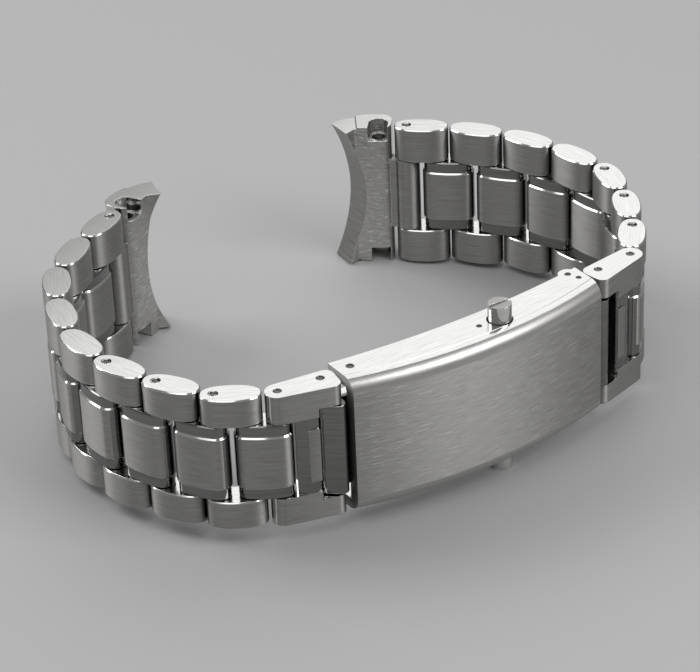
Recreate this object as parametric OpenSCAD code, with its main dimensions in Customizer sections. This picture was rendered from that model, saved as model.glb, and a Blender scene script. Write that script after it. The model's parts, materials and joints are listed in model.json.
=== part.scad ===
// Steel watch bracelet with a folding clasp, lying on its side edge as an open ring.
// The hinge pins stand along Z, X runs along the clasp and Y points to the watch head.
// Half A and half B are the two runs of links from the watch head down to the clasp.

/* [Band] */
// Width over an end link, which fills the gap between the lugs of a watch
end_width = 20; // [19.5:0.25:20.5]
// Width over the last link before the clasp
tail_width = 17.5; // [17:0.25:18]
// Distance from one pivot to the next along the band
pitch = 7.25; // [7.2:0.05:7.4]
// Width of a centre piece, with its block and both strips
centre_width = 10; // [9.6:0.1:10.4]
// Width of the raised block along the middle of a centre piece
block_width = 7; // [6.4:0.1:7.6]
// Thickness of a centre piece at its block
block_thick = 3.5; // [3.4:0.05:3.55]
// Step from the block down to the polished strips
strip_step = 0.2; // [0.1:0.05:0.3]
// Thickness of an outer link at its middle
outer_thick = 3.6; // [3.5:0.05:3.7]
// How far an outer link reaches back past its pivot
outer_reach = 1.6; // [1.55:0.05:1.65]
// Width of the bevel along the edges of an outer link
outer_bevel = 0.14; // [0.1:0.02:0.3]

/* [Pins and gaps] */
// Radius of a band pin
pin_r = 0.5; // [0.45:0.01:0.55]
// Radial clearance of a pin in the piece that holds it
held_clear = 0.02; // [0.01:0.01:0.03]
// Radial clearance of a pin in the piece that turns on it
run_clear = 0.05; // [0.03:0.01:0.08]
// Depth of a removable pin's end below the side of its link
pin_sink = 0.15; // [0.05:0.05:0.25]
// Wall that closes the hole of a pin that can't be removed
blind_wall = 0.8; // [0.6:0.1:1]
// Gap between the ends of neighbouring outer links
outer_gap = 0.15; // [0.12:0.01:0.2]
// Gap between the ends of neighbouring centre pieces
centre_gap = 0.4; // [0.35:0.05:0.5]
// Gap between the side of a centre piece and its outer links
side_gap = 0.08; // [0.05:0.01:0.12]

/* [End links] */
// Length from the first pivot to the outer corner of the case face
end_length = 10; // [9.5:0.25:10.5]
// Gap from the first pivot to the back of the end link
end_back = 1.95; // [1.9:0.05:2.1]
// Radius of the watch case that the end link is hollowed to meet
case_r = 20; // [18:1:24]
// Radius of the hole for a spring bar
bar_r = 0.9; // [0.75:0.05:0.95]
// Depth of the arched notch at each end of that hole
notch_depth = 2; // [1.5:0.5:3]

/* [Clasp] */
// Distance between the arm pins of the two clasp links
clasp_span = 40; // [40:0.1:40.4]
// How far each side wall of the cover stands past the arms of the clasp links
cover_overhang = 0.25; // [0.15:0.05:0.45]
// Thickness of the cover's plate and of its side walls
cover_wall = 1.4; // [1.2:0.1:1.5]
// Radius that the cover's outer face is curved to
cover_curve = 65; // [62:1:68]
// Radius of the rolled bevel along both edges of the cover
cover_bevel = 1.8; // [1.4:0.1:1.9]
// Distance between the two pins of a clasp link
arm_pitch = 5.4; // [5.3:0.05:5.5]
// Width of the slot for the clasp in a clasp link
slot_width = 12.4; // [12.2:0.1:12.6]
// Thickness of the folding blades
blade_thick = 1; // [0.9:0.05:1.1]
// Radius of a push-button
button_r = 1.43; // [1.3:0.01:1.45]
// Height that a push-button stands above the cover's side
button_stand = 2.2; // [1.8:0.1:2.4]
// Travel of a push-button
button_travel = 0.6; // [0.4:0.1:0.7]

/* [Lay of the band] */
// Direction of each link of half A from the end link down, the clasp link last
lay_a = [-152, -141, -118, -106, -87, -70, -58, -33, -7]; // degrees, neighbours up to 28 apart
// Direction of each link of half B from the end link down, the clasp link last
lay_b = [-41, -53, -68, -82, -109, -121, -131, -174]; // degrees, neighbours up to 44 apart
// Links of half A with pins that can be pushed out
open_a = [1, 6, 7, 8]; // any of 1 to 8
// Links of half B with pins that can be pushed out
open_b = [1, 5, 6, 7]; // any of 1 to 7

/* [Hidden] */
$fn = 64;
over = 0.5; // how far a cutter runs past the face that it cuts

// Bracelet's place: the box around it is centred on the Z axis and stands on Z = 0.
cover_width = tail_width + 2 * cover_overhang;
mid_z = cover_width / 2 + button_stand;
pin_a = [-18.99, -22.66];
pin_b = pin_a + [clasp_span, 0];
count_a = len(lay_a) - 1;
count_b = len(lay_b) - 1;

// Links: half widths across the band, and stations along it from the pivot.
centre_half = centre_width / 2;
outer_low = centre_half + side_gap;
outer_length = pitch - outer_gap;
outer_mid = outer_length / 2 - outer_reach;
outer_crown = 8;
outer_end = outer_thick / 2 + 0.1;
fix_at = pitch / 2;
centre_end = 1.6;
centre_start = fix_at - centre_end - centre_gap;
centre_crown = 12;
mouth_r = pin_r + 0.13;
blind_gap = 0.1;

// End links: the knuckle that the first link turns on, and the outline's corners.
knuckle_r = centre_end + 0.05;
knuckle_web = 0.9;
case_tip = [-end_length - 0.05, 0.1];
case_corner = [-end_length + 2.3, 3];
end_arc = 8.55;
end_arc_at = [-3.9, 6];
end_corner = 1.5;
end_outside = -2.55;
end_inside = 1.5;
horn_root = [-6.7, 1.6];
bar_at = [-3.7, 0];
notch_r = bar_r + 0.35;
relief = 0.2;
relief_from = [-6.6, 0.3];
relief_turn = -10;

// Clasp links: three rounds that the outline of an arm is drawn about.
arm_rounds = [[0, 0, 1.5], [arm_pitch + 0.7, -1.45, 1.05], [arm_pitch + 0.8, 0.35, 1]];
arm_top = tail_width / 2;
slot_half = slot_width / 2;
slot_start = arm_pitch - 1.35;
link_room = centre_end + 0.3;
bridge_step = 0.6;
bridge_slant = [[1, -1.1], [3.1, -2.15]];
tongue_half = slot_half - 0.2;

// Cover: its ends, the middles of its two arcs and its holes, from clasp pin A.
cover_ends = [2.2, clasp_span - 2.2];
cover_mid = clasp_span / 2;
cover_face = -5.9;
cover_half = cover_width / 2;
cavity_half = cover_half - cover_wall;
inner_curve = 120;
inner_face = 0.4;
cover_pin_at = [3.9, -0.3];
guide_at = [20.7, -2.2];
button_at = [23.54, -2.41];
hinge_back = 3.85;
hinge_at = [clasp_span - hinge_back, 0.95];
stop_back = 3.3;
stop_at = [clasp_span - stop_back, -0.45];
plate_head = [[-0.05, 0.05, 1], [-0.25, -0.9, 0.75], [1.05, -2, 0.8], [1, -0.3, 0.85]];
plate_bar = [[0.6, -0.15, 0.75], [cover_pin_at.x, cover_pin_at.y - 0.2, 0.95]];
button_hole = button_r + 0.17;
small_r = 0.35;
stub_r = 0.4;
bump_r = 1.2;

// Blades: both follow one arc, the wide one's rails on either side of the narrow one.
blade_mid = inner_curve + 0.2 + blade_thick / 2;
fold_x = 6.2;
fold_at = [fold_x, arc_y(fold_x, blade_mid)];
fold_eye = 0.75;
hinge_eye = 0.95;
narrow_half = 3.9;
rail = [narrow_half + 0.3, 6.4];
strap = [9.5, 12.5];
strap_thick = 0.7;
barrel_head = [for (p = plate_head) [-p.x, p.y, p[2]]];
neck_x = clasp_span - 2.6;

// Catch: posts below the rails, and the hooked bars that the buttons carry.
post = [25.9, 27.1];
post_z = [5.2, 6];
post_low = -3;
lip = 0.5;
lip_tip = post_z[0] - button_travel + 0.1;
hook_x = [19.9, 27];
hook_y = [-3.1, -1.7];
hook_z = [3.4, 4.2];
nose_y = -2.4;
nose_tip = lip_tip - 0.05;
stem_r = 1;
flange = [3.8, 2.6, 0.6];
flange_low = cavity_half - 0.9;
slot_cut = [0.5, 0.45];
spring_r = 0.68;
wire_r = 0.16;
spring_turns = 5;
spring_gap = 0.05;
coil_steps = 16;
wire_sides = 8;

link_names_a = [for (i = [1:count_a]) for (piece = ["outers", "centre", "pins"]) str("link_a", i, "_", piece)];
link_names_b = [for (i = [1:count_b]) for (piece = ["outers", "centre", "pins"]) str("link_b", i, "_", piece)];
clasp_names = [
    "clasp_link_a", "clasp_link_a_pins", "clasp_link_b", "clasp_link_b_pins", "connecting_link",
    "clasp_cover", "cover_pins", "wide_blade", "narrow_blade", "blade_pin",
    "button_top", "button_bottom", "button_spring"
];

function along(angle) = [cos(angle), sin(angle)];

// Place of a pivot, worked back from the clasp: 0 is at the end link, the last is the arm pin.
function pivot(i, lay, pin) =
    i == len(lay) ? pin : pivot(i + 1, lay, pin) - (i == len(lay) - 1 ? arm_pitch : pitch) * along(lay[i]);

// Half of the band's width at link i of a half with count links.
function half_width(i, count) = (end_width - (end_width - tail_width) * i / count) / 2;

// Height of an arc about the middle of the cover, at x from clasp pin A.
function arc_y(x, radius) = inner_face + inner_curve - sqrt(radius * radius - pow(x - cover_mid, 2));

// A link's own frame: the pivot at its origin, X along the link to the clasp, Y to the wrist.
module lay_on_a(i) {
    translate([pivot(i, lay_a, pin_a).x, pivot(i, lay_a, pin_a).y, mid_z]) rotate(lay_a[i]) children();
}

module lay_on_b(i) {
    translate([pivot(i, lay_b, pin_b).x, pivot(i, lay_b, pin_b).y, mid_z])
        rotate(lay_b[i])
            mirror([0, 1, 0])
                children();
}

module on_clasp() {
    translate([pin_a.x, pin_a.y, mid_z]) children();
}

// The same shape on the upper and the lower side of the band.
module both_sides() {
    children();
    mirror([0, 0, 1]) children();
}

// Flat piece whose straight edges touch two rounds, each given as [x, y, radius].
module web(p, q) {
    way = atan2(q.y - p.y, q.x - p.x);
    lean = acos((p[2] - q[2]) / norm([q.x - p.x, q.y - p.y]));
    polygon([
        [p.x, p.y] + p[2] * along(way + lean), [p.x, p.y] + p[2] * along(way - lean),
        [q.x, q.y] + q[2] * along(way - lean), [q.x, q.y] + q[2] * along(way + lean)
    ]);
}

// Outline drawn tight around a few rounds.
module around(rounds) {
    for (i = [0:len(rounds) - 1]) {
        translate([rounds[i].x, rounds[i].y]) circle(r = rounds[i][2]);
        web(rounds[i], rounds[(i + 1) % len(rounds)]);
    }
    if (len(rounds) > 2) polygon([for (p = rounds) [p.x, p.y]]);
}

// Disc with a bevelled rim on both faces.
module bevelled_disc(r, low, top) {
    rotate_extrude()
        polygon([
            [0, low], [r - outer_bevel, low], [r, low + outer_bevel],
            [r, top - outer_bevel], [r - outer_bevel, top], [0, top]
        ]);
}

// Pin with flat ends, the same on both sides of the band's middle.
module long_pin(r, half, at) {
    translate([at.x, at.y, -half]) cylinder(r = r, h = 2 * half);
}

// Outer link of the upper side: a barrel with blunt round ends, between its two faces.
module outer_link(top, is_open) {
    difference() {
        intersection() {
            translate([outer_mid, outer_thick / 2 - outer_crown, 0]) bevelled_disc(outer_crown, outer_low, top);
            translate([outer_mid, outer_crown - outer_thick / 2, 0]) bevelled_disc(outer_crown, outer_low, top);
            outer_ends(top);
        }
        translate([0, 0, outer_low - over]) cylinder(r = pin_r + held_clear, h = pin_hole(top, is_open));
        translate([fix_at, 0, outer_low - over]) cylinder(r = pin_r + held_clear, h = pin_hole(top, false));
        if (is_open) translate([0, 0, top - pin_sink]) cylinder(r = mouth_r, h = over);
    }
}

function pin_hole(top, is_open) = top - outer_low + over + (is_open ? over : -blind_wall);

module outer_ends(top) {
    reach = outer_length / 2 - outer_end;
    translate([outer_mid - reach, 0, 0]) bevelled_disc(outer_end, outer_low, top);
    translate([outer_mid + reach, 0, 0]) bevelled_disc(outer_end, outer_low, top);
    translate([outer_mid - reach, -outer_end, outer_low]) cube([2 * reach, 2 * outer_end, top - outer_low]);
}

module link_outers(i, count, is_open) {
    color("silver") both_sides() outer_link(half_width(i, count), is_open);
}

// Side view of a centre piece, the whole of it for the block and a step lower for the strips.
module centre_plan(step) {
    half = block_thick / 2 - step;
    middle = (fix_at + pitch) / 2;
    intersection() {
        translate([middle, half - centre_crown]) circle(r = centre_crown);
        translate([middle, centre_crown - half]) circle(r = centre_crown);
        union() {
            translate([fix_at, 0]) circle(r = centre_start - step);
            translate([pitch, 0]) circle(r = centre_end - step);
            translate([fix_at, -block_thick]) square([pitch - fix_at, 2 * block_thick]);
        }
    }
}

module link_centre() {
    color("darkgray") difference() {
        union() {
            linear_extrude(block_width, center = true) centre_plan(0);
            linear_extrude(centre_width, center = true) centre_plan(strip_step);
        }
        long_pin(pin_r + held_clear, centre_half + over, [fix_at, 0]);
        long_pin(pin_r + run_clear, centre_half + over, [pitch, 0]);
    }
}

module link_pins(i, count, is_open) {
    half = half_width(i, count);
    blind = half - blind_wall - blind_gap;
    color("gainsboro") {
        long_pin(pin_r, is_open ? half - pin_sink : blind, [0, 0]);
        long_pin(pin_r, blind, [fix_at, 0]);
    }
}

// End link: one block with horns, hollowed to the watch case, and a knuckle for the first link.
module end_link() {
    color("lightgray") difference() {
        union() {
            linear_extrude(end_width, center = true) end_plan();
            linear_extrude(centre_width, center = true) end_knuckle();
        }
        case_hollow();
        long_pin(bar_r, end_width / 2 + over, bar_at);
        long_pin(pin_r + run_clear, centre_half + over, [0, 0]);
        both_sides() bar_notch();
        both_sides() horn_relief();
    }
}

module end_plan() {
    intersection() {
        translate(end_arc_at) circle(r = end_arc);
        polygon([
            case_tip, case_corner, horn_root, [-end_back - end_corner, end_inside],
            [-end_back - end_corner, end_outside - over], [case_tip.x, end_outside - over]
        ]);
    }
    around([
        [-end_back - end_corner, end_outside + end_corner, end_corner],
        [-end_back - end_corner, end_inside - end_corner, end_corner]
    ]);
}

module end_knuckle() {
    circle(r = knuckle_r);
    translate([-end_back - end_corner, -knuckle_web]) square([end_back + end_corner, 2 * knuckle_web]);
}

// The case's curve lies across the band, so the face is deepest at the band's middle.
module case_hollow() {
    middle = (case_tip + case_corner) / 2;
    way = atan2(case_corner.y - case_tip.y, case_corner.x - case_tip.x);
    translate([middle.x, middle.y, 0])
        rotate(way)
            translate([0, sqrt(pow(case_r, 2) - pow(end_width / 2, 2)), 0])
                rotate([0, 90, 0])
                    cylinder(r = case_r, h = 2 * end_length, center = true);
}

module bar_notch() {
    translate([bar_at.x, bar_at.y, end_width / 2 - notch_depth]) {
        cylinder(r = notch_r, h = notch_depth + over);
        translate([-notch_r, 0, 0]) cube([2 * notch_r, end_length, notch_depth + over]);
    }
}

module horn_relief() {
    translate([relief_from.x, relief_from.y, end_width / 2 - relief])
        rotate(relief_turn)
            translate([-end_length, -end_length / 2, 0])
                cube([end_length, end_length, relief + over]);
}

// Clasp link: two arms joined by a bridge, open to the last link and to the clasp.
module clasp_link() {
    color("lightgray") difference() {
        linear_extrude(2 * arm_top, center = true) around(arm_rounds);
        translate([0, 0, -outer_low]) cylinder(r = link_room, h = 2 * outer_low);
        translate([-link_room, -link_room, -outer_low]) cube([link_room, 2 * link_room, 2 * outer_low]);
        translate([slot_start, -arm_pitch, -slot_half]) cube([arm_pitch, 2 * arm_pitch, slot_width]);
        both_sides() bridge_step_cut();
        bridge_slant_cut();
        long_pin(pin_r + held_clear, arm_top + over, [0, 0]);
        long_pin(pin_r + held_clear, arm_top + over, [arm_pitch, 0]);
    }
}

// Beside the bridge's block the strips' lower level goes on.
module bridge_step_cut() {
    translate([0, arm_rounds[1].y - arm_rounds[1][2] - over, block_width / 2])
        cube([slot_start, bridge_step + over, outer_low - block_width / 2]);
}

// The bridge's outer face slopes down to the last centre piece.
module bridge_slant_cut() {
    linear_extrude(2 * outer_low, center = true)
        polygon(concat(bridge_slant, [[bridge_slant[1].x, -arm_pitch], [bridge_slant[0].x, -arm_pitch]]));
}

module clasp_link_pins() {
    color("gainsboro") {
        long_pin(pin_r, arm_top - pin_sink, [0, 0]);
        long_pin(pin_r, arm_top - pin_sink, [arm_pitch, 0]);
    }
}

// Short plate between clasp link A and the cover: its head fills the slot, and a bar holds the cover's pin.
module connecting_link() {
    color("darkgray") difference() {
        linear_extrude(2 * tongue_half, center = true) {
            around(plate_head);
            around(plate_bar);
        }
        long_pin(pin_r + run_clear, arm_top, [0, 0]);
        long_pin(pin_r + run_clear, arm_top, cover_pin_at);
    }
}

// Cover: a curved plate with two side walls, open inside for the folded blades.
module clasp_cover() {
    color("gray") difference() {
        union() {
            intersection() {
                linear_extrude(cover_width, center = true) cover_plan();
                rolled_disc();
            }
            both_sides() translate([0, 0, cavity_half]) linear_extrude(cover_wall) hinge_bump();
        }
        linear_extrude(2 * cavity_half, center = true) cover_cavity();
        long_pin(pin_r + held_clear, cover_half + over, cover_pin_at);
        long_pin(small_r + held_clear, cover_half + over, guide_at);
        long_pin(small_r + held_clear, cover_half + over, stop_at);
        long_pin(stub_r + held_clear, cover_half + over, hinge_at);
        long_pin(button_hole, cover_half + over, button_at);
    }
}

module cover_plan() {
    difference() {
        translate([cover_ends[0], cover_face]) square([cover_ends[1] - cover_ends[0], -cover_face + cover_bevel]);
        translate([cover_mid, inner_face + inner_curve]) circle(r = inner_curve, $fn = 360);
    }
}

// Disc that carries the cover's outer face, its rim rolled over at both edges.
module rolled_disc() {
    translate([cover_mid, cover_face + cover_curve, 0])
        rotate_extrude($fn = 360) {
            translate([0, cover_bevel - cover_half]) square([cover_curve, cover_width - 2 * cover_bevel]);
            translate([0, -cover_half]) square([cover_curve - cover_bevel, cover_width]);
            translate([cover_curve - cover_bevel, cover_half - cover_bevel]) circle(r = cover_bevel);
            translate([cover_curve - cover_bevel, cover_bevel - cover_half]) circle(r = cover_bevel);
        }
}

module hinge_bump() {
    translate(hinge_at) circle(r = bump_r);
}

module cover_cavity() {
    intersection() {
        translate([cover_mid, cover_face + cover_curve]) circle(r = cover_curve - cover_wall, $fn = 360);
        translate([cover_ends[0] - over, cover_face]) square([clasp_span, clasp_span]);
    }
}

module cover_pins() {
    color("gainsboro") {
        long_pin(pin_r, cover_half - pin_sink, cover_pin_at);
        long_pin(small_r, cover_half - pin_sink, guide_at);
        long_pin(small_r, cover_half - pin_sink, stop_at);
        both_sides()
            translate([hinge_at.x, hinge_at.y, rail[0]])
                cylinder(r = stub_r, h = cover_half - pin_sink - rail[0]);
    }
}

// Curved strip that both blades are cut from, between two stations along the clasp.
module blade_arc(from, to) {
    difference() {
        intersection() {
            translate([cover_mid, inner_face + inner_curve])
                circle(r = blade_mid + blade_thick / 2, $fn = 360);
            translate([from, cover_face]) square([to - from, clasp_span]);
        }
        translate([cover_mid, inner_face + inner_curve]) circle(r = blade_mid - blade_thick / 2, $fn = 360);
    }
}

// Wide blade: two rails joined by a strap below the narrow blade, hinged to the cover.
module wide_blade() {
    color("darkgray") difference() {
        union() {
            both_sides() translate([0, 0, rail[0]]) linear_extrude(rail[1] - rail[0]) rail_plan();
            both_sides() catch_post();
            blade_strap();
        }
        long_pin(small_r + held_clear, cover_half, fold_at);
        long_pin(stub_r + run_clear, cover_half, hinge_at);
    }
}

module rail_plan() {
    blade_arc(fold_at.x, hinge_at.x);
    translate(fold_at) circle(r = fold_eye);
    translate(hinge_at) circle(r = hinge_eye);
}

module blade_strap() {
    top = arc_y(strap[0], blade_mid + blade_thick / 2);
    translate([strap[0], top - over - strap_thick, -rail[1]])
        cube([strap[1] - strap[0], strap_thick, 2 * rail[1]]);
    both_sides()
        translate([strap[0], top - over - strap_thick, rail[0]])
            cube([strap[1] - strap[0], strap_thick + over, rail[1] - rail[0]]);
}

module catch_post() {
    translate([post[0], post_low, post_z[0]])
        cube([post[1] - post[0], -post_low - blade_thick / 2, post_z[1] - post_z[0]]);
    translate([post[0], post_low, lip_tip]) cube([post[1] - post[0], lip, post_z[0] - lip_tip + over]);
}

// Narrow blade: lies between the rails and ends in a barrel that clasp link B turns on.
module narrow_blade() {
    color("darkgray") difference() {
        union() {
            linear_extrude(2 * narrow_half, center = true) narrow_plan();
            linear_extrude(2 * tongue_half, center = true) translate([clasp_span, 0]) around(barrel_head);
        }
        long_pin(small_r + run_clear, cover_half, fold_at);
        long_pin(pin_r + run_clear, cover_half, [clasp_span, 0]);
    }
}

module narrow_plan() {
    root_x = neck_x - blade_thick;
    blade_arc(fold_at.x, neck_x);
    translate(fold_at) circle(r = fold_eye);
    around([[root_x, arc_y(root_x, blade_mid), 0.4 * blade_thick], [clasp_span, 0.3, 0.65]]);
}

module blade_pin() {
    color("gainsboro") long_pin(small_r, rail[1] - blind_gap, fold_at);
}

// Push-button: a slotted head in the wall, and inside a stem with a hooked bar on the guide pin.
module button() {
    color("silver") difference() {
        translate([button_at.x, button_at.y, 0]) {
            translate([0, 0, flange_low]) cylinder(r = button_r, h = cover_half + button_stand - flange_low);
            translate([0, 0, hook_z[0]]) cylinder(r = stem_r, h = flange_low - hook_z[0] + over);
            translate([-flange.x / 2, -flange.y / 2, flange_low]) cube(flange);
        }
        translate([button_at.x - 2 * button_r, button_at.y - slot_cut[0] / 2, cover_half + button_stand - slot_cut[1]])
            cube([4 * button_r, slot_cut[0], slot_cut[1] + over]);
    }
    color("silver") difference() {
        hook_bar();
        long_pin(small_r + run_clear, cover_half, guide_at);
    }
}

module hook_bar() {
    translate([hook_x[0], hook_y[0], hook_z[0]])
        cube([hook_x[1] - hook_x[0], hook_y[1] - hook_y[0], hook_z[1] - hook_z[0]]);
    translate([post[0], nose_y, hook_z[0]])
        cube([hook_x[1] - post[0], hook_y[1] - nose_y, nose_tip - hook_z[0]]);
}

// Coil spring that holds the two buttons apart: rings of points along the wire, joined in order.
module button_spring() {
    steps = coil_steps * spring_turns;
    rings = [for (s = [0:steps]) for (k = [0:wire_sides - 1]) coil_point(s / steps, 360 * k / wire_sides)];
    sides = [
        for (s = [0:steps - 1]) for (k = [0:wire_sides - 1])
            [s, s, s + 1, s + 1] * wire_sides + [k, (k + 1) % wire_sides, (k + 1) % wire_sides, k]
    ];
    start_cap = [for (k = [wire_sides - 1:-1:0]) k];
    end_cap = [for (k = [0:wire_sides - 1]) steps * wire_sides + k];
    color("dimgray") polyhedron(rings, concat(sides, [start_cap, end_cap]));
}

function coil_point(part, around_wire) =
    let (
        turn = 360 * spring_turns * part,
        reach = spring_r + wire_r * cos(around_wire),
        rise = (part - 0.5) * 2 * (hook_z[0] - wire_r - spring_gap)
    )
    [button_at.x + reach * cos(turn), button_at.y + reach * sin(turn), rise + wire_r * sin(around_wire)];

lay_on_a(0) end_link();  // end_link_a
lay_on_b(0) end_link();  // end_link_b
for (i = [1:count_a]) {
    is_open = len(search(i, open_a)) > 0;
    lay_on_a(i - 1) link_outers(i, count_a, is_open);
    lay_on_a(i - 1) link_centre();
    lay_on_a(i - 1) link_pins(i, count_a, is_open);
}
for (i = [1:count_b]) {
    is_open = len(search(i, open_b)) > 0;
    lay_on_b(i - 1) link_outers(i, count_b, is_open);
    lay_on_b(i - 1) link_centre();
    lay_on_b(i - 1) link_pins(i, count_b, is_open);
}
lay_on_a(count_a) clasp_link();  // clasp_link_a
lay_on_a(count_a) clasp_link_pins();  // clasp_link_a_pins
lay_on_b(count_b) clasp_link();  // clasp_link_b
lay_on_b(count_b) clasp_link_pins();  // clasp_link_b_pins
on_clasp() connecting_link();
on_clasp() clasp_cover();
on_clasp() cover_pins();
on_clasp() wide_blade();
on_clasp() narrow_blade();
on_clasp() blade_pin();
on_clasp() button();  // button_top
on_clasp() mirror([0, 0, 1]) button();  // button_bottom
on_clasp() button_spring();
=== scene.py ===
"""Steel watch bracelet with a folding clasp, from its end links to its push-buttons."""

import itertools
import json
import math

import bmesh
import bpy
from mathutils import Matrix, Vector


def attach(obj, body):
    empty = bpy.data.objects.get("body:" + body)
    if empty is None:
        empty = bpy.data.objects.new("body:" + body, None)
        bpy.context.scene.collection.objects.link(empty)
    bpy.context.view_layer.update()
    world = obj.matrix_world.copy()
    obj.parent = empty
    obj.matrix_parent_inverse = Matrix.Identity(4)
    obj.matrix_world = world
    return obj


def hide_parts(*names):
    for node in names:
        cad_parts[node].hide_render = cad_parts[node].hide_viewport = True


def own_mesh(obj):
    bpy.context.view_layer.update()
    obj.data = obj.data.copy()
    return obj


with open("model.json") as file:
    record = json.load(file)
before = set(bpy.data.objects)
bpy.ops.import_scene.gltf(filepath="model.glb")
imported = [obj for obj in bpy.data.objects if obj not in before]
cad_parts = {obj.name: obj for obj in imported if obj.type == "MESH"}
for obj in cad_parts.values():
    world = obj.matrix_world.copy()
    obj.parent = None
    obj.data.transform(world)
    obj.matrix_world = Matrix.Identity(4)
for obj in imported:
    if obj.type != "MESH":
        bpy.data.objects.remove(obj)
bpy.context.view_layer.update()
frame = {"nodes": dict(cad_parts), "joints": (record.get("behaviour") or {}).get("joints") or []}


# End links

# A solid end link is milled from a 316L stainless steel bar: one block with a knuckle for the
# first link, two horns beside the spring-bar hole, and a face hollowed to meet the watch case.
# Its outside is brushed, its sides are ground flat, and its wrist side keeps the cutter's marks.

mm = 0.001
hinges = {
    joint["name"]: Vector(joint["pos_m"]) for joint in frame["joints"] if joint["type"] == "hinge"
}
band_a = ["end_link_a"] + [f"link_a{i}" for i in range(1, 9)] + ["clasp_link_a"]
band_b = ["end_link_b"] + [f"link_b{i}" for i in range(1, 8)] + ["clasp_link_b"]
pivots_a = [hinges[f"{body}_hinge"] for body in band_a]
pivots_b = [hinges[f"{body}_hinge"] for body in band_b]


def on_band(pivots, number, side):
    """Place of a band piece: millimetres along its link, to the wrist and across, from its pin."""
    way = pivots[number + 1] - pivots[number]
    turn = Matrix.Rotation(math.atan2(way.y, way.x), 4, "Z")
    return Matrix.Translation(pivots[number]) @ turn @ Matrix.Diagonal((mm, side * mm, mm, 1))


def linear(code):
    """Linear colour of an sRGB hex code, as a shader's socket takes it."""
    parts = [int(code[i : i + 2], 16) / 255 for i in (1, 3, 5)]
    return [*((p + 0.055) ** 2.4 / 1.055**2.4 if p > 0.04045 else p / 12.92 for p in parts), 1]


def add(tree, kind, inputs=None, **settings):
    """Adds a node. Each input gets a value, or a link from another node's output."""
    made = tree.nodes.new(kind)
    for key, value in settings.items():
        setattr(made, key, value)
    for key, value in (inputs or {}).items():
        if isinstance(value, bpy.types.NodeSocket):
            tree.links.new(value, made.inputs[key])
        else:
            made.inputs[key].default_value = value
    return made


def steel(name, dark, pale, roughness, line, length, depth, scratch=0.0, turn=0.0, stretch=0.0):
    """Steel with the marks that a belt or a cutter leaves.

    line and length are one mark's width and length in millimetres, depth is its relief, and turn
    is its slant. scratch is how strongly single scratches show over the marks, and stretch draws
    the highlight out across them.
    """
    peaks_from, peaks_to = 0.64, 0.7  # only the noise's rare peaks become scratches
    made = bpy.data.materials.new(name)
    made.use_nodes = True
    tree = made.node_tree
    tree.nodes.clear()
    surface = add(tree, "ShaderNodeUVMap", uv_map="grain")
    slanted = add(
        tree, "ShaderNodeMapping", {"Vector": surface.outputs[0], "Rotation": (0, 0, turn)}
    )
    marks = add(
        tree,
        "ShaderNodeMapping",
        {"Vector": slanted.outputs[0], "Scale": (1 / length, 1 / line, 1)},
    )
    lines = add(
        tree,
        "ShaderNodeTexNoise",
        {"Vector": marks.outputs[0], "Scale": 1.0, "Detail": 3.0, "Roughness": 0.6},
    )
    sparse = add(
        tree, "ShaderNodeTexNoise", {"Vector": marks.outputs[0], "Scale": 0.9, "Detail": 1.0}
    )
    scratches = add(
        tree,
        "ShaderNodeMapRange",
        {
            "Value": sparse.outputs[0],
            "From Min": peaks_from,
            "From Max": peaks_to,
            "To Max": scratch,
        },
        interpolation_type="SMOOTHSTEP",
    )
    even = add(
        tree,
        "ShaderNodeMapRange",
        {
            "Value": lines.outputs[0],
            "From Min": 0.3,
            "From Max": 0.7,
            "To Max": 1 - 0.7 * scratch,
        },
    )
    tone = add(
        tree,
        "ShaderNodeMath",
        {0: even.outputs[0], 1: scratches.outputs[0]},
        operation="ADD",
        use_clamp=True,
    )
    # Inputs 6 and 7 of a Mix node are its two colours, and output 2 is the colour between them.
    shade = add(
        tree,
        "ShaderNodeMix",
        {"Factor": tone.outputs[0], 6: linear(dark), 7: linear(pale)},
        data_type="RGBA",
    )
    gloss = add(
        tree,
        "ShaderNodeMapRange",
        {
            "Value": lines.outputs[0],
            "From Min": 0.25,
            "From Max": 0.75,
            "To Min": roughness * 1.15,
            "To Max": roughness * 0.85,
        },
    )
    height = add(
        tree, "ShaderNodeMath", {0: lines.outputs[0], 1: scratches.outputs[0]}, operation="ADD"
    )
    # Depth 1 is 0.02 mm. The bump's strength ends there, so a deeper mark takes more distance.
    relief = add(
        tree,
        "ShaderNodeBump",
        {
            "Height": height.outputs[0],
            "Strength": min(depth, 1),
            "Distance": 0.02 * mm * max(depth, 1),
        },
    )
    along = add(tree, "ShaderNodeTangent", direction_type="UV_MAP", uv_map="grain")
    metal = add(
        tree,
        "ShaderNodeBsdfPrincipled",
        {
            "Base Color": shade.outputs[2],
            "Metallic": 1.0,
            "Roughness": gloss.outputs[0],
            "Normal": relief.outputs[0],
            "Anisotropic": stretch,
            "Anisotropic Rotation": 0.25,  # a quarter turn, so the highlight crosses the marks
            "Tangent": along.outputs[0],
        },
    )
    add(tree, "ShaderNodeOutputMaterial", {"Surface": metal.outputs[0]})
    return made


# Belt-brushed steel: fine lines along the band scatter the light across them. A real line is
# about 0.05 mm wide, which is finer than a pixel here, so the lines are drawn 0.1 mm wide.
satin = steel(
    "brushed_316L_steel", "#9C9B99", "#B4B3B1", 0.56, 0.1, 4.0, 0.25, scratch=0.1, stretch=0.9
)
# Flat-lapped steel: nearly a mirror with a haze of short straight lines.
ground = steel("ground_316L_steel", "#C9C9C7", "#DEDEDC", 0.17, 0.15, 4.0, 0.05)
# Polished steel: bevels, knuckles, blades and pins, bright with only hairlines left.
polished = steel("polished_316L_steel", "#CFCFCE", "#E2E2E0", 0.12, 0.3, 6.0, 0.03)
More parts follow.
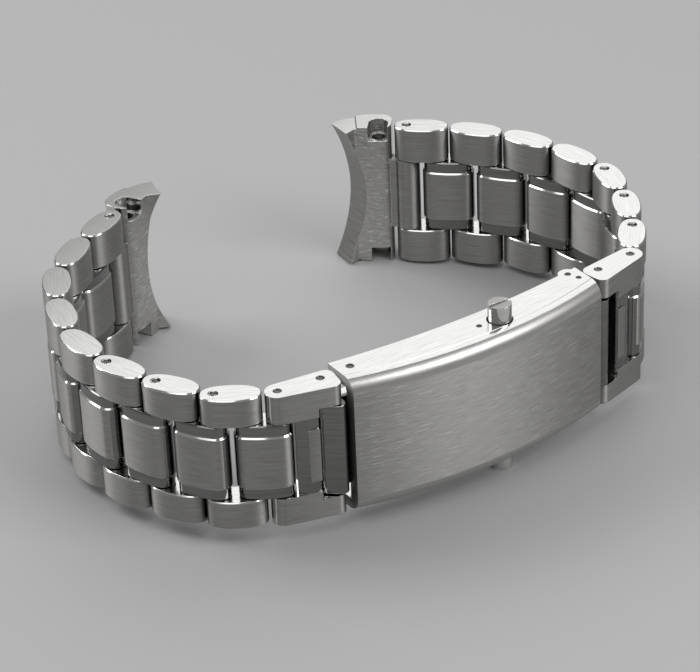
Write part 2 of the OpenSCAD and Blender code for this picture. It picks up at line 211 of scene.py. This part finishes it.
# Milled steel: a coarse cutter's marks run slantwise over the wrist side, which no one polishes.
milled = steel(
    "milled_316L_steel", "#AEADAA", "#E6E5E2", 0.42, 0.25, 1.2, 3.0, scratch=0.6,
    turn=math.radians(8),
)
# Bored steel: the hollow that meets the watch case is cut finer and looks greyer.
bored = steel("bored_316L_steel", "#7F7E7B", "#A5A4A1", 0.4, 0.15, 3.0, 0.4)

GRAIN_SHIFT = 31.7  # millimetres between the patterns of two pieces, so that no two look alike
MOSTLY, SQUARE_ON = 0.7, 0.9  # shares of a face's normal along the direction that it looks in
serial = itertools.count(1)


def settled(obj):
    """The mesh that an object's modifiers give; the object itself goes."""
    evaluated = obj.evaluated_get(bpy.context.evaluated_depsgraph_get())
    mesh = bpy.data.meshes.new_from_object(evaluated)
    bpy.data.objects.remove(obj)
    return mesh


def loose(mesh):
    """A mesh on an object of its own, to be worked on."""
    obj = bpy.data.objects.new("work", mesh)
    bpy.context.scene.collection.objects.link(obj)
    return obj


def broken_edges(mesh, width, limit=35):
    """Takes the sharpness off a mesh's edges, as tumbling and a buff do."""
    mesh.shade_smooth()
    obj = loose(mesh)
    bevel = obj.modifiers.new("Broken edges", "BEVEL")
    bevel.width = width * mm
    bevel.segments = 2
    bevel.limit_method = "ANGLE"
    bevel.angle_limit = math.radians(limit)
    bevel.harden_normals = True
    return settled(obj)


def cad_copy(name, width):
    """A welded copy of a CAD solid, with its edges broken."""
    work = bmesh.new()
    work.from_mesh(frame["nodes"][name].data)
    bmesh.ops.remove_doubles(work, verts=work.verts, dist=0.001 * mm)
    bmesh.ops.dissolve_limit(
        work, angle_limit=math.radians(0.4), verts=work.verts, edges=work.edges
    )
    work.verts.index_update()
    corners = [v.co[:] for v in work.verts]
    faces = [[v.index for v in f.verts] for f in work.faces]
    work.free()
    mesh = bpy.data.meshes.new(name)
    mesh.from_pydata(corners, [], faces)
    return broken_edges(mesh, width)


def finish(mesh, place, choose):
    """Lays the grain along a piece, in millimetres, and gives each face the steel it is left as."""
    back = place.inverted()
    turn = place.to_3x3().transposed()
    start = GRAIN_SHIFT * next(serial)
    if "grain" not in mesh.uv_layers:
        mesh.uv_layers.new(name="grain")
    grain = mesh.uv_layers["grain"]
    points = [back @ v.co for v in mesh.vertices]
    mesh.materials.clear()
    used = []
    for face in mesh.polygons:
        normal = (turn @ face.normal).normalized()
        kind = choose(back @ face.center, normal)
        if kind not in used:
            used.append(kind)
            mesh.materials.append(kind)
        face.material_index = used.index(kind)
        sideways = abs(normal.z) > MOSTLY
        lengthways = abs(normal.x) < MOSTLY
        for loop in face.loop_indices:
            p = points[mesh.loops[loop].vertex_index]
            u, v = (p.x, p.y) if sideways else (p.x, p.z) if lengthways else (p.y, p.z)
            grain.data[loop].uv = (u + start, v + start)


def piece(name, mesh, body, slot, *nodes):
    """A finished piece that rides on a body and stands for its CAD nodes."""
    mesh.name = name
    made = bpy.data.objects.new(name, mesh)
    bpy.context.scene.collection.objects.link(made)
    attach(made, body)
    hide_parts(*nodes)
    return made


END_SIDES_FROM = 9.0  # the flat sides lie beyond the floors of the spring bar's notches
KNUCKLE_FROM = -1.9  # where the block ends and the knuckle begins, along the first link
TO_WRIST, TO_CASE, OUTWARD = 0.4, -0.5, -0.3


def end_link_finish(centre, normal):
    if abs(normal.z) > SQUARE_ON and abs(centre.z) > END_SIDES_FROM:
        return ground
    if centre.x > KNUCKLE_FROM:
        return satin
    if normal.y > TO_WRIST:
        return bored if normal.x < TO_CASE else milled
    if max(abs(normal.x), abs(normal.y), abs(normal.z)) < SQUARE_ON:
        return polished
    return satin if normal.y < OUTWARD else polished


for name, pivots, side in (("end_link_a", pivots_a, 1), ("end_link_b", pivots_b, -1)):
    mesh = cad_copy(name, width=0.14)
    finish(mesh, on_band(pivots, 0, side), end_link_finish)
    piece(f"{name}_steel", mesh, name, "end_links", name)


# Outer links

# Each link has two outer pieces of rolled 316L bar, barrel-shaped with blunt round ends. Their
# outside is brushed along the band, their flat ends are ground bright, and the rims are bevelled
# on a polishing wheel. They are pressed on the link's two pins.

OUTER_LOW, OUTER_TOP = 5.08, 10.0  # across the band, from its middle
OUTER_MID, OUTER_LONG, OUTER_THICK = 1.95, 7.1, 3.6
OUTER_SQUARENESS, OUTER_STEPS = 2.35, 80
RIM = 0.14
PIN_R, FIX_AT = 0.5, 3.625
HOLE_R, MOUTH_R, MOUTH_DEEP = PIN_R + 0.02, PIN_R + 0.13, 0.5
BLIND_WALL = 0.8
OPEN_A, OPEN_B = (1, 6, 7, 8), (1, 5, 6, 7)  # the links whose pivot pin shows
TAPER = 1.25  # how much less each side of the last link stands out than an end link's

# Mirror-polished steel: round ends, strips, the bridges' slopes and the plates in the slots. They
# lie low and look darker than the brushed steel around them, so their colour is darkened well below
# polished steel's: painted shade, and a painted dark reflection.
shaded_mirror = steel("mirror_polished_316L_steel_painted_shade", "#727170", "#858483", 0.1, 0.3, 6.0, 0.03)


def loft(rings):
    """Mesh of rings of (x, y, z) in millimetres, each joined to the next, both ends closed."""
    count = len(rings[0])
    last = len(rings) * count - count
    faces = [list(range(count))[::-1], [last + k for k in range(count)]]
    for ring, k in itertools.product(range(len(rings) - 1), range(count)):
        a, b = ring * count + k, ring * count + (k + 1) % count
        faces.append([a, b, b + count, a + count])
    mesh = bpy.data.meshes.new("loft")
    mesh.from_pydata([[c * mm for c in p] for ring in rings for p in ring], [], faces)
    return mesh


def rod(x, y, radius, low, high, edge=0.0, count=32):
    """Round rod across the band, with an edge broken at both ends."""
    narrow = radius - edge
    broken = [(low, narrow), (low + edge, radius), (high - edge, radius), (high, narrow)]
    used = broken if edge else [(low, radius), (high, radius)]
    turns = [2 * math.pi * k / count for k in range(count)]
    return loft([[(x + r * math.cos(t), y + r * math.sin(t), z) for t in turns] for z, r in used])


def joined(meshes):
    """Several meshes as one."""
    work = bmesh.new()
    for mesh in meshes:
        work.from_mesh(mesh)
    whole = bpy.data.meshes.new("joined")
    work.to_mesh(whole)
    work.free()
    return whole


def cut(mesh, cutters):
    """Takes the cutters' space out of a mesh."""
    obj, tool = loose(mesh), loose(joined(cutters))
    knife = obj.modifiers.new("Cut", "BOOLEAN")
    knife.object = tool
    knife.operation = "DIFFERENCE"
    knife.solver = "EXACT"
    knife.use_self = True
    mesh = settled(obj)
    bpy.data.objects.remove(tool)
    return mesh


def lens_outline(inset):
    """Side outline of an outer link: a superellipse whose long axis lies along the band."""
    power = 2 / OUTER_SQUARENESS
    outline = []
    for k in range(OUTER_STEPS):
        turn = 2 * math.pi * k / OUTER_STEPS
        c, s = math.cos(turn), math.sin(turn)
        x = (OUTER_LONG / 2 - inset) * math.copysign(abs(c) ** power, c)
        y = (OUTER_THICK / 2 - inset) * math.copysign(abs(s) ** power, s)
        outline.append((OUTER_MID + x, y))
    return outline


def outer_blank(is_open):
    """Upper outer link as wide as the end links, with the hole of its pivot pin open or blind."""
    rings = [(OUTER_LOW, RIM), (OUTER_LOW + RIM, 0), (OUTER_TOP - RIM, 0), (OUTER_TOP, RIM)]
    body = loft([[(x, y, z) for x, y in lens_outline(inset)] for z, inset in rings])
    blind = OUTER_TOP - BLIND_WALL
    holes = [
        rod(FIX_AT, 0, HOLE_R, OUTER_LOW - 1, blind),
        rod(0, 0, HOLE_R, OUTER_LOW - 1, OUTER_TOP + 1 if is_open else blind),
    ]
    if is_open:
        holes.append(rod(0, 0, MOUTH_R, OUTER_TOP - MOUTH_DEEP, OUTER_TOP + 1))
    return cut(broken_edges(body, width=0.03, limit=20), holes)


# The tree reads the band's pivots from a line of points, stands a blank at one of them with its
# length along the line, moves the blank's ends out or in to the band's width there, and adds the
# opposite blank, turned half over, where the link has one on each side.
ENDS_FROM = 7.0  # across the band; what lies beyond moves with the band's width
laying = bpy.data.node_groups.new("Lay along the band", "GeometryNodeTree")
sockets = {
    key: laying.interface.new_socket(
        key, in_out="INPUT", socket_type=f"NodeSocket{kind}"
    ).identifier
    for key, kind in (
        ("Blank", "Geometry"), ("Pivots", "Object"), ("Number", "Int"), ("Widen", "Float"),
        ("Sides", "Int"),
    )
}
laying.interface.new_socket("Laid", in_out="OUTPUT", socket_type="NodeSocketGeometry")
given = add(laying, "NodeGroupInput").outputs
line = add(laying, "GeometryNodeObjectInfo", {"Object": given["Pivots"]}).outputs["Geometry"]
spot = add(laying, "GeometryNodeInputPosition").outputs[0]
following = add(laying, "ShaderNodeMath", {0: given["Number"], 1: 1}, operation="ADD").outputs[0]
here, there = (
    add(
        laying,
        "GeometryNodeSampleIndex",
        {"Geometry": line, "Value": spot, "Index": index},
        data_type="FLOAT_VECTOR",
    ).outputs[0]
    for index in (given["Number"], following)
)
way = add(laying, "ShaderNodeVectorMath", {0: there, 1: here}, operation="SUBTRACT").outputs[0]
facing = add(
    laying, "FunctionNodeAlignRotationToVector", {"Vector": way}, axis="X", pivot_axis="Z"
).outputs[0]
height = add(laying, "ShaderNodeSeparateXYZ", {0: spot}).outputs[2]
reach, side_of_band = (
    add(laying, "ShaderNodeMath", {0: height}, operation=operation).outputs[0]
    for operation in ("ABSOLUTE", "SIGN")
)
far_out = add(
    laying, "ShaderNodeMath", {0: reach, 1: ENDS_FROM * mm}, operation="GREATER_THAN"
).outputs[0]
outward = add(
    laying, "ShaderNodeMath", {0: side_of_band, 1: given["Widen"]}, operation="MULTIPLY"
).outputs[0]
offset = add(laying, "ShaderNodeCombineXYZ", {2: outward}).outputs[0]
widened = add(
    laying,
    "GeometryNodeSetPosition",
    {"Geometry": given["Blank"], "Selection": far_out, "Offset": offset},
).outputs[0]
stand = add(laying, "GeometryNodePoints", {"Count": given["Sides"], "Position": here}).outputs[0]
which = add(laying, "GeometryNodeInputIndex").outputs[0]
half_turns = add(laying, "ShaderNodeMath", {0: which, 1: math.pi}, operation="MULTIPLY").outputs[0]
over = add(laying, "ShaderNodeCombineXYZ", {0: half_turns}).outputs[0]
turned_over = add(
    laying,
    "FunctionNodeRotateRotation",
    {"Rotation": facing, "Rotate By": over},
    rotation_space="LOCAL",
).outputs[0]
stood = add(
    laying,
    "GeometryNodeInstanceOnPoints",
    {"Points": stand, "Instance": widened, "Rotation": turned_over},
).outputs[0]
real = add(laying, "GeometryNodeRealizeInstances", {"Geometry": stood}).outputs[0]
coated = add(laying, "GeometryNodeSetMaterial", {"Geometry": real, "Material": satin}).outputs[0]
add(laying, "NodeGroupOutput", {"Laid": coated})

paths = {}
for half, pivots in (("a", pivots_a), ("b", pivots_b)):
    points = bpy.data.meshes.new(f"pivots_{half}")
    points.from_pydata([p[:] for p in pivots], [(k, k + 1) for k in range(len(pivots) - 1)], [])
    paths[half] = loose(points)


def laid(blank, half, number, widen, sides):
    """The blank's mesh as it stands on the band at that link."""
    obj = loose(blank.copy())
    lay = obj.modifiers.new("Lay along the band", "NODES")
    lay.node_group = laying
    for key, value in (
        ("Pivots", paths[half]), ("Number", number), ("Widen", widen * mm), ("Sides", sides)
    ):
        lay[sockets[key]] = value
    return settled(obj)


links = []
for half, pivots, side, count, opened in (
    ("a", pivots_a, 1, 8, OPEN_A), ("b", pivots_b, -1, 7, OPEN_B)
):
    for i in range(1, count + 1):
        place = on_band(pivots, i - 1, side)
        links.append((f"link_{half}{i}", half, i - 1, -TAPER * i / count, i in opened, place))

OUTER_END_ON, OUTER_RIM_LEAN = 0.93, 0.2
PIN_ZONE = 0.7  # around the pivot, within which a face belongs to the hole's mouth


def outer_finish(centre, normal):
    if abs(normal.z) > OUTER_END_ON:
        return ground
    if abs(normal.z) > OUTER_RIM_LEAN or math.hypot(centre.x, centre.y) < PIN_ZONE:
        return polished
    # The ends facing the next link take the darkened mirror steel, whose tone is painted shade for
    # the gaps.
    return shaded_mirror if abs(normal.x) > SQUARE_ON else satin


blanks = {is_open: outer_blank(is_open) for is_open in (True, False)}
for name, half, number, widen, is_open, place in links:
    mesh = laid(blanks[is_open], half, number, widen, 2)
    finish(mesh, place, outer_finish)
    piece(f"{name}_outers_steel", mesh, name, "outer_links", f"{name}_outers")


# Centre pieces

# The middle of a link is one milled 316L piece. Its raised block is brushed along the band, and
# the strip on each side of it lies a step lower and is mirror-polished, with a bevel between.

CENTRE_HALF, STRIP_FROM, STEP_FOOT, BLOCK_TO = 5.0, 3.56, 3.5, 3.36  # across the band
STRIP_LOW, STEP_LOW, CENTRE_RIM = 0.2, 0.14, 0.16
PITCH = 7.25
CENTRE_ENDS = ((FIX_AT, 1.625), (PITCH, 1.6))  # place and radius of the two round ends
CENTRE_CROWN, CENTRE_HALF_THICK = 12, 1.75
END_STEPS, CROWN_STEPS = 8, 20
PIVOT_HOLE_R = PIN_R + 0.05


def barrel(inset):
    """Side outline of a centre piece: two crowned faces between its round ends."""
    first, last = CENTRE_ENDS
    crown = CENTRE_CROWN - inset
    middle = (first[0] + last[0]) / 2
    drop = CENTRE_HALF_THICK - CENTRE_CROWN
    corners = []
    for x, radius in (last, first):  # the turn at which each end meets the crown, by halving
        low, high = 0.0, math.pi / 2
        for _ in range(30):
            turn = (low + high) / 2
            reach = abs(x - middle) + (radius - inset) * math.cos(turn)
            inside = math.hypot(reach, (radius - inset) * math.sin(turn) - drop) < crown
            low, high = (turn, high) if inside else (low, turn)
        corners.append(turn)
    right = [corners[0] * k / END_STEPS for k in range(END_STEPS + 1)]
    left = [math.pi - corners[1] * k / END_STEPS for k in range(END_STEPS + 1)]
    x, radius = last[0], last[1] - inset
    upper = [(x + radius * math.cos(t), radius * math.sin(t)) for t in right]
    x, radius = first[0], first[1] - inset
    ending = [(x + radius * math.cos(t), radius * math.sin(t)) for t in left]
    start, stop = upper[-1][0], ending[-1][0]
    for k in range(1, CROWN_STEPS):
        x = start + (stop - start) * k / CROWN_STEPS
        upper.append((x, drop + math.sqrt(crown**2 - (x - middle) ** 2)))
    upper += reversed(ending)
    return upper + [(x, -y) for x, y in upper[-2:0:-1]]


rings = [
    (CENTRE_HALF, STRIP_LOW + CENTRE_RIM),
    (CENTRE_HALF - CENTRE_RIM, STRIP_LOW),
    (STRIP_FROM, STRIP_LOW),
    (STEP_FOOT, STEP_LOW),
    (BLOCK_TO, 0),
]
steps = [(-z, inset) for z, inset in rings] + [(z, inset) for z, inset in reversed(rings)]
block = loft([[(x, y, z) for x, y in barrel(inset)] for z, inset in steps])
centre_blank = cut(
    broken_edges(block, width=0.03, limit=20),
    [rod(FIX_AT, 0, HOLE_R, -6, 6), rod(PITCH, 0, PIVOT_HOLE_R, -6, 6)],
)
CENTRE_END_ON, BLOCK_LEAN = 0.8, 0.1


def centre_finish(centre, normal):
    if abs(normal.z) > SQUARE_ON:
        return ground
    # The strips and round ends take the darkened mirror steel, whose tone is painted shade in the
    # steps and gaps.
    if abs(centre.z) > STRIP_FROM or abs(normal.x) > CENTRE_END_ON:
        return shaded_mirror
    return satin if abs(centre.z) < BLOCK_TO and abs(normal.z) < BLOCK_LEAN else polished


for name, half, number, widen, is_open, place in links:
    mesh = laid(centre_blank, half, number, 0, 1)
    finish(mesh, place, centre_finish)
    piece(f"{name}_centre_steel", mesh, name, "centre_pieces", f"{name}_centre")


# Band pins

# Drawn steel rods 1 mm thick join the links. In the links near the ends the pivot pin can be
# pushed out, so its turned end shows in the mouth of its hole; the others are blind.

OPEN_PIN, BLIND_PIN = 9.85, 9.1  # half the pins' length at the end links
PIVOT_EDGE, FIX_EDGE = 0.17, 0.1

# Turned steel: the pins' ends, sunk in their holes. Their colour is darkened below the links' as
# painted shade, for the shade in the holes' mouths.
shaded_turned = steel("turned_pin_steel_painted_shade", "#5A5957", "#7F7E7B", 0.36, 0.12, 0.4, 0.3)

pin_blanks = {}
for is_open, reach in ((True, OPEN_PIN), (False, BLIND_PIN)):
    pin_blanks[is_open] = joined([
        rod(0, 0, PIN_R, -reach, reach, PIVOT_EDGE),
        rod(FIX_AT, 0, PIN_R, -BLIND_PIN, BLIND_PIN, FIX_EDGE),
    ])


def pin_finish(centre, normal):
    # Pin ends take the darkened turned steel, whose tone is painted shade in the holes' mouths.
    return shaded_turned if abs(normal.z) > SQUARE_ON else polished


for name, half, number, widen, is_open, place in links:
    mesh = laid(pin_blanks[is_open], half, number, widen, 1)
    mesh.shade_smooth()
    mesh.set_sharp_from_angle(angle=math.radians(30))
    finish(mesh, place, pin_finish)
    piece(f"{name}_pins_steel", mesh, name, "pins", f"{name}_pins")

for path in paths.values():
    bpy.data.objects.remove(path)


# Clasp links

# An H-shaped link is milled from one 316L block: two arms hold the last link on one side and the
# clasp on the other, and a bridge joins them. Its outside is brushed, its sides are ground, and
# the bridge is mirror-polished where it faces the last link.

ARM_SIDES_FROM, ARMS_FROM, BRIDGE_STEPS_FROM = 8.0, 5.0, 3.5  # across the band
FACES_OUT, FACES_LAST_LINK, ARM_LEAN = -0.5, -0.3, 0.2


def clasp_link_finish(centre, normal):
    if abs(normal.z) > SQUARE_ON:
        return ground if abs(centre.z) > ARM_SIDES_FROM else polished
    if normal.y >= FACES_OUT:
        return polished
    slope = normal.x < FACES_LAST_LINK or abs(centre.z) > BRIDGE_STEPS_FROM
    # The bridge's slope takes the darkened mirror steel, whose tone is painted shade where it faces
    # the last link.
    if abs(centre.z) < ARMS_FROM and slope:
        return shaded_mirror
    return satin if abs(normal.z) < ARM_LEAN else polished


for half, pivots, side, count in (("a", pivots_a, 1, 8), ("b", pivots_b, -1, 7)):
    name = f"clasp_link_{half}"
    place = on_band(pivots, count, side)
    mesh = cad_copy(name, width=0.16)
    finish(mesh, place, clasp_link_finish)
    piece(f"{name}_steel", mesh, name, "clasp_links", name)
    pins = cad_copy(f"{name}_pins", width=0.17)
    finish(pins, place, pin_finish)
    piece(f"{name}_pins_steel", pins, name, "pins", f"{name}_pins")


# Connecting link

# A short milled plate hangs clasp link A on the cover. It turns on the arm pin at one end and on
# the cover's pin at the other, and only its polished outside shows in the slot between the arms.

on_clasp = (
    Matrix.Translation(hinges["clasp_link_a_hinge"]) @ Matrix.Diagonal((mm, mm, mm, 1))
)
PLATE_LEAN = 0.3


def plate_finish(centre, normal):
    # Faces turned outward take the darkened mirror steel, whose tone is painted shade and a painted
    # dark reflection.
    return shaded_mirror if normal.y < FACES_OUT and abs(normal.z) < PLATE_LEAN else polished


mesh = cad_copy("connecting_link", width=0.12)
finish(mesh, on_clasp, plate_finish)
piece("connecting_link_steel", mesh, "connecting_link", "clasp_links", "connecting_link")


# Clasp cover

# The cover is pressed and milled from 316L: a plate curved to the wrist between two side walls.
# Its face is brushed lengthwise, both long edges are rolled over and buffed to a bright line, and
# a fine groove parts each roll from its wall. The walls carry the pin holes and the button holes.

COVER_ENDS, COVER_MID = (2.2, 37.8), 20.0
COVER_R, FACE, WALL, HALF, ROLL = 65.0, -5.9, 1.4, 9.0, 1.8
INNER_R, INNER_FACE = 120.0, 0.4
GROOVE_WIDE, GROOVE_DEEP = 0.1, 0.06
ROLL_STEPS, LONG_STEPS = 10, 60
COVER_PIN, GUIDE, STOP, HINGE = (3.9, -0.3), (20.7, -2.2), (36.7, -0.45), (36.15, 0.95)
COVER_PIN_R, THIN_PIN_R, HINGE_R, BOSS_R = 0.52, 0.37, 0.42, 1.2
BUTTON, BUTTON_HOLE = (23.54, -2.41), 1.6
THROUGH = 10.0  # a hole's cutter reaches this far each way across the band

# Hand-brushed steel: the cover's face is done with a coarser pad, so single scratches show in it.
scored = steel(
    "hand_brushed_316L_steel", "#979694", "#CFCECC", 0.54, 0.085, 2.8, 0.4, scratch=0.7,
    stretch=0.9,
)
# Buffed steel: the cover's rolled edges carry one broad soft highlight.
buffed = steel("buffed_316L_steel", "#ABAAA8", "#C6C5C3", 0.38, 0.1, 4.0, 0.15)


def sag(x, face, radius, at):
    """Height at x of a circle of radius at, about the same centre as the face's own circle."""
    return face + radius - math.sqrt(at * at - (x - COVER_MID) ** 2)


def cover_ring(x):
    """Section across the band: up one wall, over the plate, down the other, and back inside."""
    turns = [math.pi / 2 * k / ROLL_STEPS for k in range(ROLL_STEPS + 1)]
    roll = [(COVER_R - ROLL + ROLL * math.sin(t), HALF - ROLL + ROLL * math.cos(t)) for t in turns]
    groove = [
        (COVER_R - ROLL - GROOVE_WIDE, HALF),
        (COVER_R - ROLL - GROOVE_WIDE / 2, HALF - GROOVE_DEEP),
    ]
    over = groove + roll
    low = sag(x, INNER_FACE, INNER_R, INNER_R)
    outline = over + [(r, -z) for r, z in reversed(over)]
    outside = [(sag(x, FACE, COVER_R, r), z) for r, z in outline]
    ceiling = sag(x, FACE, COVER_R, COVER_R - WALL)
    inner = HALF - WALL
    inside = [(low, inner), (ceiling, inner), (ceiling, -inner), (low, -inner)]
    return [(x, y, z) for y, z in [(low, HALF), *outside, (low, -HALF), *reversed(inside)]]


start, stop = COVER_ENDS
stations = [start + (stop - start) * k / LONG_STEPS for k in range(LONG_STEPS + 1)]
shell = loose(loft([cover_ring(x) for x in stations]))
bosses = loose(joined([
    rod(*HINGE, BOSS_R, low, low + WALL, count=48) for low in (HALF - WALL, -HALF)
]))
weld = shell.modifiers.new("Bosses", "BOOLEAN")
weld.object, weld.operation, weld.solver = bosses, "UNION", "EXACT"
mesh = settled(shell)
bpy.data.objects.remove(bosses)
holes = [
    rod(*at, radius, -THROUGH, THROUGH)
    for at, radius in (
        (COVER_PIN, COVER_PIN_R), (GUIDE, THIN_PIN_R), (STOP, THIN_PIN_R), (HINGE, HINGE_R)
    )
]
holes.append(rod(*BUTTON, BUTTON_HOLE, -THROUGH, THROUGH, count=64))
for part in (mesh, *holes):
    part.transform(on_clasp @ Matrix.Scale(1 / mm, 4))
mesh = broken_edges(cut(mesh, holes), width=0.07, limit=38)
ROLL_FROM, PLATE_BELOW, FACE_ON, END_ON = 7.25, -1, -0.8, 0.7


def cover_finish(centre, normal):
    if abs(normal.z) > SQUARE_ON:
        return ground
    if centre.y < PLATE_BELOW and abs(centre.z) < ROLL_FROM and normal.y < FACE_ON:
        return scored
    if abs(normal.x) > END_ON or normal.y > 0:
        return satin
    return buffed if abs(centre.z) > ROLL_FROM else polished


finish(mesh, on_clasp, cover_finish)
piece("clasp_cover_steel", mesh, "clasp", "cover", "clasp_cover")


# Pins in the cover

# Turned steel pins are pressed into the walls: one for the connecting link, a thin guide for the
# buttons' bars, a stop for the blades, and two stubs that the wide blade hinges on.

mesh = cad_copy("cover_pins", width=0.07)
finish(mesh, on_clasp, pin_finish)
piece("cover_pins_steel", mesh, "clasp", "pins", "cover_pins")


# Folding blades

# Both blades are stamped from 1 mm steel strip and bent to the cover's curve. The wide one has
# two rails, a strap and the catch posts; the narrow one lies between the rails and ends in the
# barrel that clasp link B turns on. They are polished after stamping and joined by one pin.

for name, body, slot, width, chosen in (
    ("wide_blade", "wide_blade", "blades", 0.1, plate_finish),
    ("narrow_blade", "narrow_blade", "blades", 0.1, plate_finish),
    ("blade_pin", "wide_blade", "pins", 0.06, pin_finish),
):
    mesh = cad_copy(name, width)
    finish(mesh, on_clasp, chosen)
    piece(f"{name}_steel", mesh, body, slot, name)


# Push-buttons

# Each button is turned from steel rod, with a screwdriver slot across its head, and carries a
# hooked bar inside the cover. The heads stand out of the walls with a dark gap all round.


def button_finish(centre, normal):
    return satin if abs(normal.z) > SQUARE_ON else polished


for name in ("button_top", "button_bottom"):
    mesh = cad_copy(name, width=0.12)
    finish(mesh, on_clasp, button_finish)
    piece(f"{name}_steel", mesh, name, "buttons", name)


# Button spring

# A coil of hard-drawn wire between the two buttons presses both outwards. On the clasp, pressing
# the upper button shortens it while its foot stays on the lower one; here the coil rides whole on
# the upper button.

WIRE_R, COIL_R, SPRING_TURNS = 0.16, 0.68, 5.0
BAR_FROM, BAR_GAP = 3.4, 0.05  # the buttons' bars, from the middle of the band
SPRING_HALF = BAR_FROM - WIRE_R - BAR_GAP

coil = bpy.data.node_groups.new("Coil spring", "GeometryNodeTree")
coil_inputs = {
    key: coil.interface.new_socket(
        key, in_out="INPUT", socket_type=f"NodeSocket{kind}"
    ).identifier
    for key, kind in (
        ("Turns", "Float"), ("Coil radius", "Float"), ("Length", "Float"),
        ("Wire radius", "Float"), ("Centre", "Vector"), ("Wire", "Material"),
    )
}
coil.interface.new_socket("Spring", in_out="OUTPUT", socket_type="NodeSocketGeometry")
given = add(coil, "NodeGroupInput").outputs
spiral = add(
    coil,
    "GeometryNodeCurveSpiral",
    {
        "Resolution": 24,
        "Rotations": given["Turns"],
        "Start Radius": given["Coil radius"],
        "End Radius": given["Coil radius"],
        "Height": given["Length"],
    },
).outputs[0]
section = add(
    coil, "GeometryNodeCurvePrimitiveCircle", {"Resolution": 10, "Radius": given["Wire radius"]}
).outputs[0]
wound = add(
    coil,
    "GeometryNodeCurveToMesh",
    {"Curve": spiral, "Profile Curve": section, "Fill Caps": True},
).outputs[0]
seated = add(
    coil, "GeometryNodeTransform", {"Geometry": wound, "Translation": given["Centre"]}
).outputs[0]
real = add(coil, "GeometryNodeRealizeInstances", {"Geometry": seated}).outputs[0]
coated = add(
    coil, "GeometryNodeSetMaterial", {"Geometry": real, "Material": given["Wire"]}
).outputs[0]
add(coil, "NodeGroupOutput", {"Spring": coated})

obj = loose(bpy.data.meshes.new("spring"))
winding = obj.modifiers.new("Coil spring", "NODES")
winding.node_group = coil
for key, value in (
    ("Turns", SPRING_TURNS),
    ("Coil radius", COIL_R * mm),
    ("Length", 2 * SPRING_HALF * mm),
    ("Wire radius", WIRE_R * mm),
    ("Centre", on_clasp @ Vector((*BUTTON, -SPRING_HALF))),
    ("Wire", polished),
):
    winding[coil_inputs[key]] = value
mesh = settled(obj)
mesh.shade_smooth()
finish(mesh, on_clasp, lambda centre, normal: polished)
spring = piece("button_spring_steel", mesh, "button_top", "spring", "button_spring")
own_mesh(spring)


# Floor, light and camera

# The bracelet stands on the lower button's end and the lower sides of both end links, so the
# floor lies through those three points, about a degree and a half off the CAD's level.

BUTTON_FOOT = (*BUTTON, -11.2)
END_LINK_FOOT = (-7, -1.95, -10)
FLOOR_HALF = 2.0  # metres

feet = [
    on_clasp @ Vector(BUTTON_FOOT),
    on_band(pivots_a, 0, 1) @ Vector(END_LINK_FOOT),
    on_band(pivots_b, 0, -1) @ Vector(END_LINK_FOOT),
]
up = (feet[2] - feet[0]).cross(feet[1] - feet[0]).normalized()
up = up if up.z > 0 else -up
level = up.to_track_quat("Z", "Y").to_matrix().to_4x4()
sheet = bpy.data.meshes.new("floor")
corners = [(x * FLOOR_HALF, y * FLOOR_HALF, 0) for x, y in ((-1, -1), (1, -1), (1, 1), (-1, 1))]
sheet.from_pydata(corners, [], [(0, 1, 2, 3)])
sheet.transform(Matrix.Translation(feet[0]) @ level)
floor = loose(sheet)
floor.name = "floor"
# Matt card: an even pale grey with no sheen of its own, so the floor stays plain.
paper = bpy.data.materials.new("matt_grey_card")
paper.use_nodes = True
paper.node_tree.nodes.clear()
card = add(
    paper.node_tree,
    "ShaderNodeBsdfPrincipled",
    {"Base Color": linear("#ADADAD"), "Roughness": 0.6},
)
add(paper.node_tree, "ShaderNodeOutputMaterial", {"Surface": card.outputs[0]})
sheet.materials.append(paper)

# Angles in degrees, distance and side in metres. The one at the back stands where the flat ends
# of the links mirror it towards the camera: brightly at the clasp, less at the far left.
for name, azimuth, elevation, roll, away, size, watts in (
    ("softbox_back", 46.5, 51.5, 42, 0.55, 0.5, 0.88),
    ("softbox_front_right", 300, 41, 0, 0.5, 0.26, 1.05),
    ("softbox_back_left", 128, 41, 0, 0.5, 0.26, 1.05),
    ("softbox_above", 205, 66, 0, 0.5, 0.3, 0.42),
):
    lamp = bpy.data.lights.new(name, "AREA")
    lamp.shape, lamp.size, lamp.energy = "SQUARE", size, watts
    box = bpy.data.objects.new(name, lamp)
    box.matrix_world = (
        Matrix.Rotation(math.radians(azimuth), 4, "Z")
        @ Matrix.Rotation(math.radians(-elevation), 4, "Y")
        @ Matrix.Translation((away, 0, 0))
        @ Matrix.Rotation(math.radians(90), 4, "Y")
        @ Matrix.Rotation(math.radians(90 + roll), 4, "Z")
    )
    bpy.context.scene.collection.objects.link(box)

sky = bpy.data.worlds.new("studio")
sky.use_nodes = True
sky.node_tree.nodes.clear()
air = add(sky.node_tree, "ShaderNodeBackground", {"Color": linear("#FFFFFF"), "Strength": 0.25})
add(sky.node_tree, "ShaderNodeOutputWorld", {"Surface": air.outputs[0]})
bpy.context.scene.world = sky
bpy.context.scene.view_settings.view_transform = "Standard"

# The lens and place come from matching the pins and the links' outlines to the photograph.
aim = Vector((-3.34, -5.08, 11.2)) * mm
azimuth, elevation, roll = math.radians(32.92), math.radians(31.22), math.radians(-2.5)
distance = 0.34675
look = Vector((
    math.sin(azimuth) * math.cos(elevation),
    math.cos(azimuth) * math.cos(elevation),
    -math.sin(elevation),
))
lens = bpy.data.cameras.new("camera")
lens.lens, lens.sensor_width, lens.clip_start = 146.6, 36.0, 0.01
camera = bpy.data.objects.new("camera", lens)
camera.matrix_world = (
    Matrix.Translation(aim - look * distance)
    @ look.to_track_quat("-Z", "Y").to_matrix().to_4x4()
    @ Matrix.Rotation(roll, 4, "Z")
)
bpy.context.scene.collection.objects.link(camera)
bpy.context.scene.camera = camera
